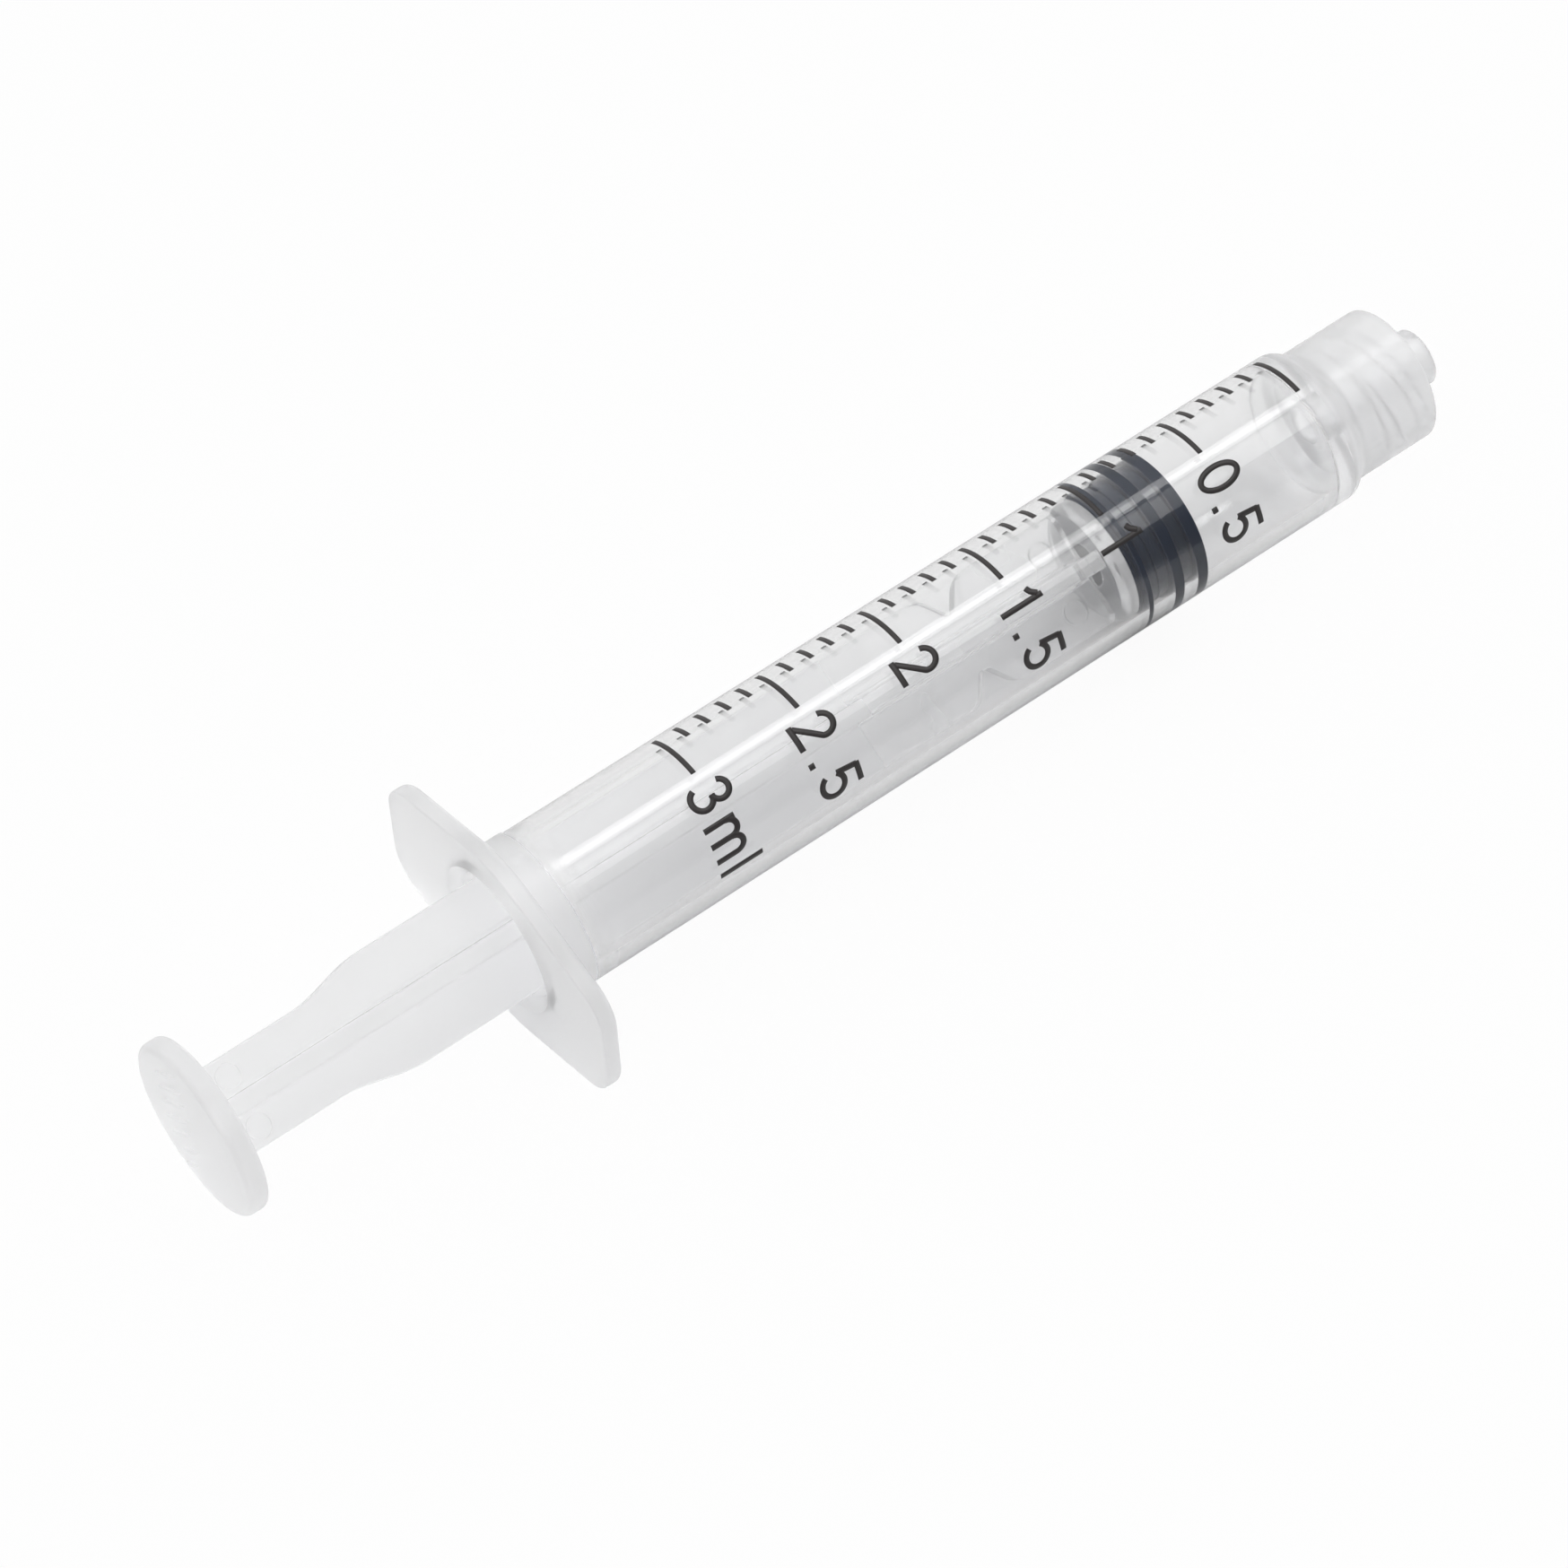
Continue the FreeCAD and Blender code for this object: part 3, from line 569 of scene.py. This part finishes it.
def rubber():
    """Bromobutyl rubber: nearly black with a blue cast, and a fine moulded grain."""
    finish = Finish(bpy.data.materials.new("stopper_rubber"))
    where = finish.node("TexCoord", {}, {})["Object"]
    patches = finish.noise(where, RUBBER_PATCH_SCALE, 2.0)
    colour = finish.node("Mix", {"data_type": "RGBA"}, {0: patches, 6: RUBBER_DARK, 7: RUBBER_LIGHT})[2]
    grain = finish.noise(where, RUBBER_GRAIN_SCALE, 4.0)
    relief = finish.relief(grain, RUBBER_GRAIN_STRENGTH, RUBBER_GRAIN_DEPTH)
    skin = finish.node("BsdfPrincipled", {}, {
        "Base Color": colour, "Roughness": patches * RUBBER_PATCH_ROUGHNESS + RUBBER_ROUGHNESS,
        "Specular IOR Level": RUBBER_SHEEN, "Normal": relief})["BSDF"]
    return finish.end(skin)


piece("rubber_stopper", stopper_mesh(), rubber(), "stopper", "stopper")

# Plunger rod
# One moulding of slightly milky polypropylene: thumb disc, four crossed ribs with a waist,
# a pair of break notches, the front disc that pushes the stopper, and a barbed head inside it.
ROD_BACK = -22.4631
ROD_ROLL = math.radians(32.6)
THUMB_RADIUS = 6.05
THUMB_THICKNESS = 1.5
THUMB_ROOT = 0.5
RIB_HALF = 0.6
RIB_EDGE = 0.16
RIB_CORE_HOLLOW = 0.3
RIB_START = 0.6
RIB_END = 68.0
RIB_TUCK = 0.5
RIB_BITE = 0.5  # how far the ribs run into the front disc
RIB_REACH = 3.93
WAIST_REACH = 3.0
WAIST_END = 9.9
WIDENING_END = 13.7
WAIST_ROUND = 8.0
NOTCH_PLACE = 58.65
NOTCH_REACH = 2.1
NOTCH_BOTTOM = 0.25
NOTCH_TOP = 1.531
NOTCH_BOTTOM_ROUND = 0.25
NOTCH_TOP_ROUND = 1.5
DISC_RADIUS = 4.25
DISC_FRONT = 69.1
DISC_CHAMFER = 0.4
NECK_RADIUS = 1.5
NECK_LENGTH = 1.2
HEAD_RADIUS = 2.4
HEAD_LAND = 0.6
HEAD_LENGTH = 2.15
HEAD_TIP = 1.5
FLAT_ANGLE = math.radians(0.2)
EJECTOR_MARKS = ((3.5, 1.75), (3.5, -1.75), (65.8, 2.1), (65.8, -2.1))  # along the rod, across it
EJECTOR_RADIUS = 0.85
EJECTOR_WIDTH = 0.11
EJECTOR_DEPTH = 0.15
EJECTOR_TOP = 1.0  # how far the cutter stands out of the rib
EJECTOR_COLUMNS = 48
GRIP_RIDGES = (
    # start across and up, length
    ((3.46, 2.64), 3.4), ((3.37, 1.18), 3.8), ((3.25, -0.15), 3.8), ((3.06, -1.59), 3.8),
    ((2.61, -2.74), 3.0), ((1.60, -3.51), 2.4), ((1.51, -5.0), 1.8),
)
GRIP_WAY = (-0.76, 0.65)
GRIP_HALF_WIDTH = 0.17
GRIP_RISE = 0.20
GRIP_ROWS = 25
GRIP_COLUMNS = 16


def rod_turned(mesh_name, section):
    """A turned form whose section counts from the rear face of the thumb disc."""
    return turned_mesh(mesh_name, section, ROD_BACK)


def rib_edges(notched):
    """Reach of a rib along the rod: narrow at the waist, widening in two opposite rounds, then straight
    to the disc. One pair of ribs is cut by the break notch."""
    corners = [(RIB_START, WAIST_REACH, 0), (WAIST_END, WAIST_REACH, WAIST_ROUND),
               (WIDENING_END, RIB_REACH, WAIST_ROUND)]
    if notched:
        corners += [
            (NOTCH_PLACE - NOTCH_TOP, RIB_REACH, NOTCH_TOP_ROUND),
            (NOTCH_PLACE - NOTCH_BOTTOM, NOTCH_REACH, NOTCH_BOTTOM_ROUND),
            (NOTCH_PLACE + NOTCH_BOTTOM, NOTCH_REACH, NOTCH_BOTTOM_ROUND),
            (NOTCH_PLACE + NOTCH_TOP, RIB_REACH, NOTCH_TOP_ROUND),
        ]
    corners += [(RIB_END, RIB_REACH, 0.4), (RIB_END, RIB_REACH - RIB_TUCK, 0),
                (RIB_END + RIB_BITE, RIB_REACH - RIB_TUCK, 0)]
    return rounded(corners, closed=False)


def rib_mesh():
    """A plus-shaped outline carried along the rod. Its arms' tips follow the reach of each rib, and
    the whole outline swells by a quarter round where it meets the thumb disc."""
    half, reach = RIB_HALF, RIB_REACH
    arm = [(half, half, RIB_CORE_HOLLOW), (half, reach, RIB_EDGE), (-half, reach, RIB_EDGE)]
    corners = []
    for quarter in range(4):
        cosine = round(math.cos(quarter * math.pi / 2))
        sine = round(math.sin(quarter * math.pi / 2))
        corners += [(cosine * a - sine * b, sine * a + cosine * b, r) for a, b, r in arm]
    outline = rounded(corners)
    tangent = np.roll(outline, -1, 0) - np.roll(outline, 1, 0)
    normal = np.stack([tangent[:, 1], -tangent[:, 0]], 1)
    normal /= np.linalg.norm(normal, axis=1)[:, None]
    tip = np.where(np.abs(outline) > 2 * half, np.sign(outline), 0)

    plain, notched = rib_edges(False), rib_edges(True)
    root = THUMB_THICKNESS + THUMB_ROOT * np.linspace(0, 1, 7)
    stations = np.unique(np.round(np.concatenate([plain[:, 0], notched[:, 0], root]), 4))
    reach_of = [np.interp(stations, edge[:, 0], edge[:, 1]) for edge in (notched, plain)]
    depth = np.clip(THUMB_THICKNESS + THUMB_ROOT - stations, 0, THUMB_ROOT)
    swell = THUMB_ROOT - np.sqrt(THUMB_ROOT ** 2 - depth ** 2)
    across = outline + swell[:, None, None] * normal
    for axis in (0, 1):
        across[:, :, axis] += tip[:, axis] * (reach_of[axis] - reach)[:, None]
    cosine, sine = math.cos(ROD_ROLL), math.sin(ROD_ROLL)
    y = across[:, :, 0] * cosine - across[:, :, 1] * sine
    z = across[:, :, 0] * sine + across[:, :, 1] * cosine
    x = np.repeat(stations[:, None] + ROD_BACK, len(outline), 1)
    mesh = bpy.data.meshes.new("ribs")
    faces = grid_faces(len(stations), len(outline), False, True).tolist()
    last = (len(stations) - 1) * len(outline)
    faces.append(list(range(len(outline))))
    faces.append([last + index for index in range(len(outline))][::-1])
    mesh.from_pydata(lay(x, y, z).reshape(-1, 3).tolist(), [], faces)
    shape = bmesh.new()
    shape.from_mesh(mesh)
    bmesh.ops.recalc_face_normals(shape, faces=shape.faces)
    shape.to_mesh(mesh)
    shape.free()
    return mesh


def thumb_mesh():
    """A flat disc with a full round rear edge and a smaller front one."""
    return rod_turned("thumb_disc", rounded([
        (0, 0, 0), (0, THUMB_RADIUS, 0.5), (THUMB_THICKNESS, THUMB_RADIUS, 0.4), (THUMB_THICKNESS, 0, 0)],
        closed=False))


def head_mesh():
    """Front disc, neck and barbed head as one turned form."""
    neck_end = DISC_FRONT + NECK_LENGTH
    return rod_turned("front_disc", rounded([
        (RIB_END, 0, 0), (RIB_END, DISC_RADIUS - DISC_CHAMFER, 0.1),
        (RIB_END + DISC_CHAMFER, DISC_RADIUS, 0.15), (DISC_FRONT, DISC_RADIUS, 0.15),
        (DISC_FRONT, NECK_RADIUS, 0.2), (neck_end, NECK_RADIUS, 0.15), (neck_end, HEAD_RADIUS, 0.12),
        (neck_end + HEAD_LAND, HEAD_RADIUS, 0.2), (neck_end + HEAD_LENGTH, HEAD_TIP, 0.2),
        (neck_end + HEAD_LENGTH, 0, 0)], closed=False))


def ejector_mark(along, across):
    """A short ring standing in the upper face of a notched rib, to be cut out of it."""
    turn = np.linspace(0, 2 * math.pi, EJECTOR_COLUMNS, endpoint=False)
    inner = EJECTOR_RADIUS - EJECTOR_WIDTH
    radius = np.array([inner, EJECTOR_RADIUS, EJECTOR_RADIUS, inner])[:, None]
    height = np.array([-EJECTOR_DEPTH, -EJECTOR_DEPTH, EJECTOR_TOP, EJECTOR_TOP])[:, None] + RIB_HALF
    side = across + radius * np.sin(turn)
    up = np.repeat(height, EJECTOR_COLUMNS, 1)
    cosine, sine = math.cos(ROD_ROLL), math.sin(ROD_ROLL)
    x = ROD_BACK + along + radius * np.cos(turn)
    spots = lay(x, side * cosine - up * sine, side * sine + up * cosine)
    return mesh_of("ejector_mark", spots, grid_faces(4, EJECTOR_COLUMNS, True, True))


def grip_ridge(start, length):
    """A low ridge on the thumb disc: half of it stands out of the face as a flattened ellipsoid."""
    way = np.array(GRIP_WAY)
    centre = np.array(start) + way * length / 2
    turn = np.linspace(0, 2 * math.pi, GRIP_COLUMNS, endpoint=False)
    pole = np.linspace(0, math.pi, GRIP_ROWS)[:, None]
    forth = np.cos(pole) * length / 2
    side = np.sin(pole) * np.cos(turn) * GRIP_HALF_WIDTH
    out = np.sin(pole) * np.sin(turn) * GRIP_RISE
    y = centre[0] + way[0] * forth - way[1] * side
    z = centre[1] + way[1] * forth + way[0] * side
    faces = grid_faces(GRIP_ROWS, GRIP_COLUMNS, False, True)
    return mesh_of("grip_ridge", lay(ROD_BACK - out, y, z), faces)


def fused(name, first, others, operation="UNION"):
    """Closed meshes joined to the first, or cut out of it, so that no wall is left inside.
    Faces in one plane then become one face."""
    base = bpy.data.objects.new(name, first)
    scene.collection.objects.link(base)
    helpers = []
    for other in others:
        helper = bpy.data.objects.new("helper", other)
        scene.collection.objects.link(helper)
        helpers.append(helper)
        step = base.modifiers.new("join", "BOOLEAN")
        step.operation = operation
        step.solver = "MANIFOLD"
        step.object = helper
    bpy.context.view_layer.update()
    mesh = bpy.data.meshes.new_from_object(base.evaluated_get(bpy.context.evaluated_depsgraph_get()))
    for thing in [base] + helpers:
        bpy.data.objects.remove(thing)
    shape = bmesh.new()
    shape.from_mesh(mesh)
    bmesh.ops.dissolve_limit(shape, angle_limit=FLAT_ANGLE, verts=shape.verts, edges=shape.edges)
    shape.to_mesh(mesh)
    shape.free()
    return mesh


ROD_HAZE = 0.24
ROD_ROUGHNESS = 0.10
ROD_CLOUDS = ((-45.9, -46.6, 0.34, 0.0), (7.0, 0.0, 0.0, 0.20))  # the thumb disc, all ribs behind the notch
rod_plastic = clear_plastic("milky_polypropylene", ROD_HAZE, ROD_ROUGHNESS, ROD_CLOUDS)
ridges = [grip_ridge(*ridge) for ridge in GRIP_RIDGES]
marks = [ejector_mark(*mark) for mark in EJECTOR_MARKS]
rod_mesh = fused("plunger_moulding", rib_mesh(), [thumb_mesh(), head_mesh()] + ridges)
rod_mesh = fused("plunger_moulding", rod_mesh, marks, "DIFFERENCE")
piece("plunger_moulding", rod_mesh, rod_plastic, "plunger_rod", "plunger_rod")

# Printed scale
# Dark ink laid on the outside of the tube: a line for each tenth of a millilitre, a longer one
# for each half, and plain numerals that read round the tube with their tops to the nozzle.
SCALE_ZERO = 62.62
SCALE_PITCH = 1000 / (math.pi * BORE_RADIUS ** 2)
LINE_WIDTH = 0.36
LINE_START = math.radians(48.1)
SHORT_LINE_END = math.radians(68.0)
LONG_LINE_END = math.radians(97.6)
NUMERAL_START = math.radians(105.8)
NUMERAL_HEIGHT = 2.95
PEN = 0.39
INK_THICKNESS = 0.012
INK_COLOUR = (0.022, 0.018, 0.018, 1)
INK_LIFT = 0.002  # clear of the tube's wall
INK_WEAR_SCALE = 1500.0
INK_WEAR_ROUGHNESS = 0.2
INK_ROUGHNESS = 0.35
SCALE_TENTHS = 30
LONG_LINE_EVERY = 5
LINE_COLUMNS = 24
STROKE_STEP = 0.06
ARC_DEGREES = 7


def arc(across, up, wide, tall, start, end):
    """An arc of an ellipse, from one angle to another in degrees."""
    steps = max(6, int(abs(end - start) / ARC_DEGREES))
    angle = np.radians(np.linspace(start, end, steps))
    return np.stack([across + wide * np.cos(angle), up + tall * np.sin(angle)], 1)


def path(*parts):
    """Points and arcs strung into one line, in order."""
    return np.concatenate([np.array(part, float).reshape(-1, 2) for part in parts])


LOW = PEN / 2
HIGH = NUMERAL_HEIGHT - PEN / 2
MIDDLE = NUMERAL_HEIGHT / 2
# Each sign is its pen strokes, in millimetres from its lower left, the gap before it,
# and the way on to the next sign.
NUMERALS = {
    "0": ([arc(0.93, MIDDLE, 0.71, HIGH - MIDDLE, 0, 360)], 0.24, 2.39),
    "1": ([path((0.86, 0), (0.86, NUMERAL_HEIGHT)),
           path((0.08, 2.22), (0.42, 2.36), (0.72, 2.72))], 0.50, 2.13),
    "2": ([path(arc(0.93, 2.02, 0.70, 0.705, 172, -22), (0.26, LOW + 0.12)),
           path((0.04, LOW), (1.80, LOW))], 0.0, 2.63),
    "3": ([arc(0.90, 2.12, 0.62, 0.605, 165, -85),
           arc(0.92, 0.90, 0.72, 0.675, 88, -165)], 0.0, 2.63),
    "5": ([path((0.36, HIGH), (1.72, HIGH)), path((0.48, HIGH), (0.32, 1.38)),
           arc(0.98, 0.98, 0.76, 0.755, 148, -152)], 0.0, 2.63),
    ".": ([path((0.23, 0), (0.23, PEN))], 0.0, 1.09),
    "m": ([path((0.22, 0), (0.22, 2.1)), path(arc(0.80, 1.40, 0.55, 0.60, 180, 0), (1.35, 0)),
           path(arc(1.92, 1.40, 0.55, 0.60, 180, 0), (2.47, 0))], -0.13, 3.36),
    "l": ([path((0.22, 0), (0.22, NUMERAL_HEIGHT))], 0.0, 0.45),
}
NUMERAL_STRETCH = 1.08  # drawn a little taller than wide


def on_tube(across, up, place, start):
    """Flat print wrapped on the tube: across runs round it from an angle, up runs along it from a place."""
    turn = start + across / TUBE_RADIUS
    radius = TUBE_RADIUS + INK_LIFT
    return lay(place + up, radius * np.cos(turn), radius * np.sin(turn))


def stroke(line):
    """A pen stroke: the line cut into short steps, with half the pen's width to each side of it."""
    length = np.concatenate([[0], np.cumsum(np.linalg.norm(np.diff(line, axis=0), axis=1))])
    where = np.linspace(0, length[-1], max(2, int(length[-1] / STROKE_STEP)))
    walked = np.stack([np.interp(where, length, line[:, axis]) for axis in (0, 1)], 1)
    tangent = np.gradient(walked, axis=0)
    normal = np.stack([-tangent[:, 1], tangent[:, 0]], 1)
    normal *= PEN / 2 / np.linalg.norm(normal, axis=1)[:, None]
    return np.stack([walked - normal, walked, walked + normal])


def print_patches():
    """Every line and stroke of the scale as a small grid of points on the tube."""
    patches = []
    for tenth in range(SCALE_TENTHS + 1):
        place = SCALE_ZERO - tenth / 10 * SCALE_PITCH
        end = SHORT_LINE_END if tenth % LONG_LINE_EVERY else LONG_LINE_END
        round_it = np.linspace(0, (end - LINE_START) * TUBE_RADIUS, LINE_COLUMNS)
        along_it = np.array([-LINE_WIDTH / 2, 0, LINE_WIDTH / 2])
        patches.append(on_tube(round_it[None], along_it[:, None], place, LINE_START))
        if tenth % LONG_LINE_EVERY or not tenth:
            continue
        text = f"{tenth / 10:g}" + ("ml" if tenth == SCALE_TENTHS else "")
        across = 0.0
        for sign in text:
            strokes, gap, onward = NUMERALS[sign]
            across += gap
            for line in strokes:
                spots = stroke(line)
                up = (spots[..., 1] - MIDDLE) * NUMERAL_STRETCH
                patches.append(on_tube(spots[..., 0] + across, up, place, NUMERAL_START))
            across += onward
    return patches


def ink():
    """Nearly black ink, duller where it is a little worn."""
    finish = Finish(bpy.data.materials.new("scale_ink"))
    where = finish.node("TexCoord", {}, {})["Object"]
    wear = finish.noise(where, INK_WEAR_SCALE, 3.0)
    cover = finish.node("BsdfPrincipled", {}, {
        "Base Color": INK_COLOUR, "Roughness": wear * INK_WEAR_ROUGHNESS + INK_ROUGHNESS})["BSDF"]
    return finish.end(cover)


def scale_mesh():
    """All the patches of print as one mesh, each patch a grid of its own."""
    points = []
    faces = []
    count = 0
    for patch in print_patches():
        rows, columns = patch.shape[:2]
        points.append(patch.reshape(-1, 3))
        faces.append(grid_faces(rows, columns, False, False) + count)
        count += rows * columns
    mesh = bpy.data.meshes.new("printed_scale")
    mesh.from_pydata(np.concatenate(points).tolist(), [], np.concatenate(faces).tolist())
    return mesh


def add_scale():
    """The print as a piece that rides on the barrel, thickened outwards to a film."""
    thing = piece("printed_scale", scale_mesh(), ink(), "barrel")
    film = thing.modifiers.new("film", "SOLIDIFY")
    film.thickness = INK_THICKNESS * MM
    film.offset = 1
    thing.modifiers.move(1, 0)


add_scale()
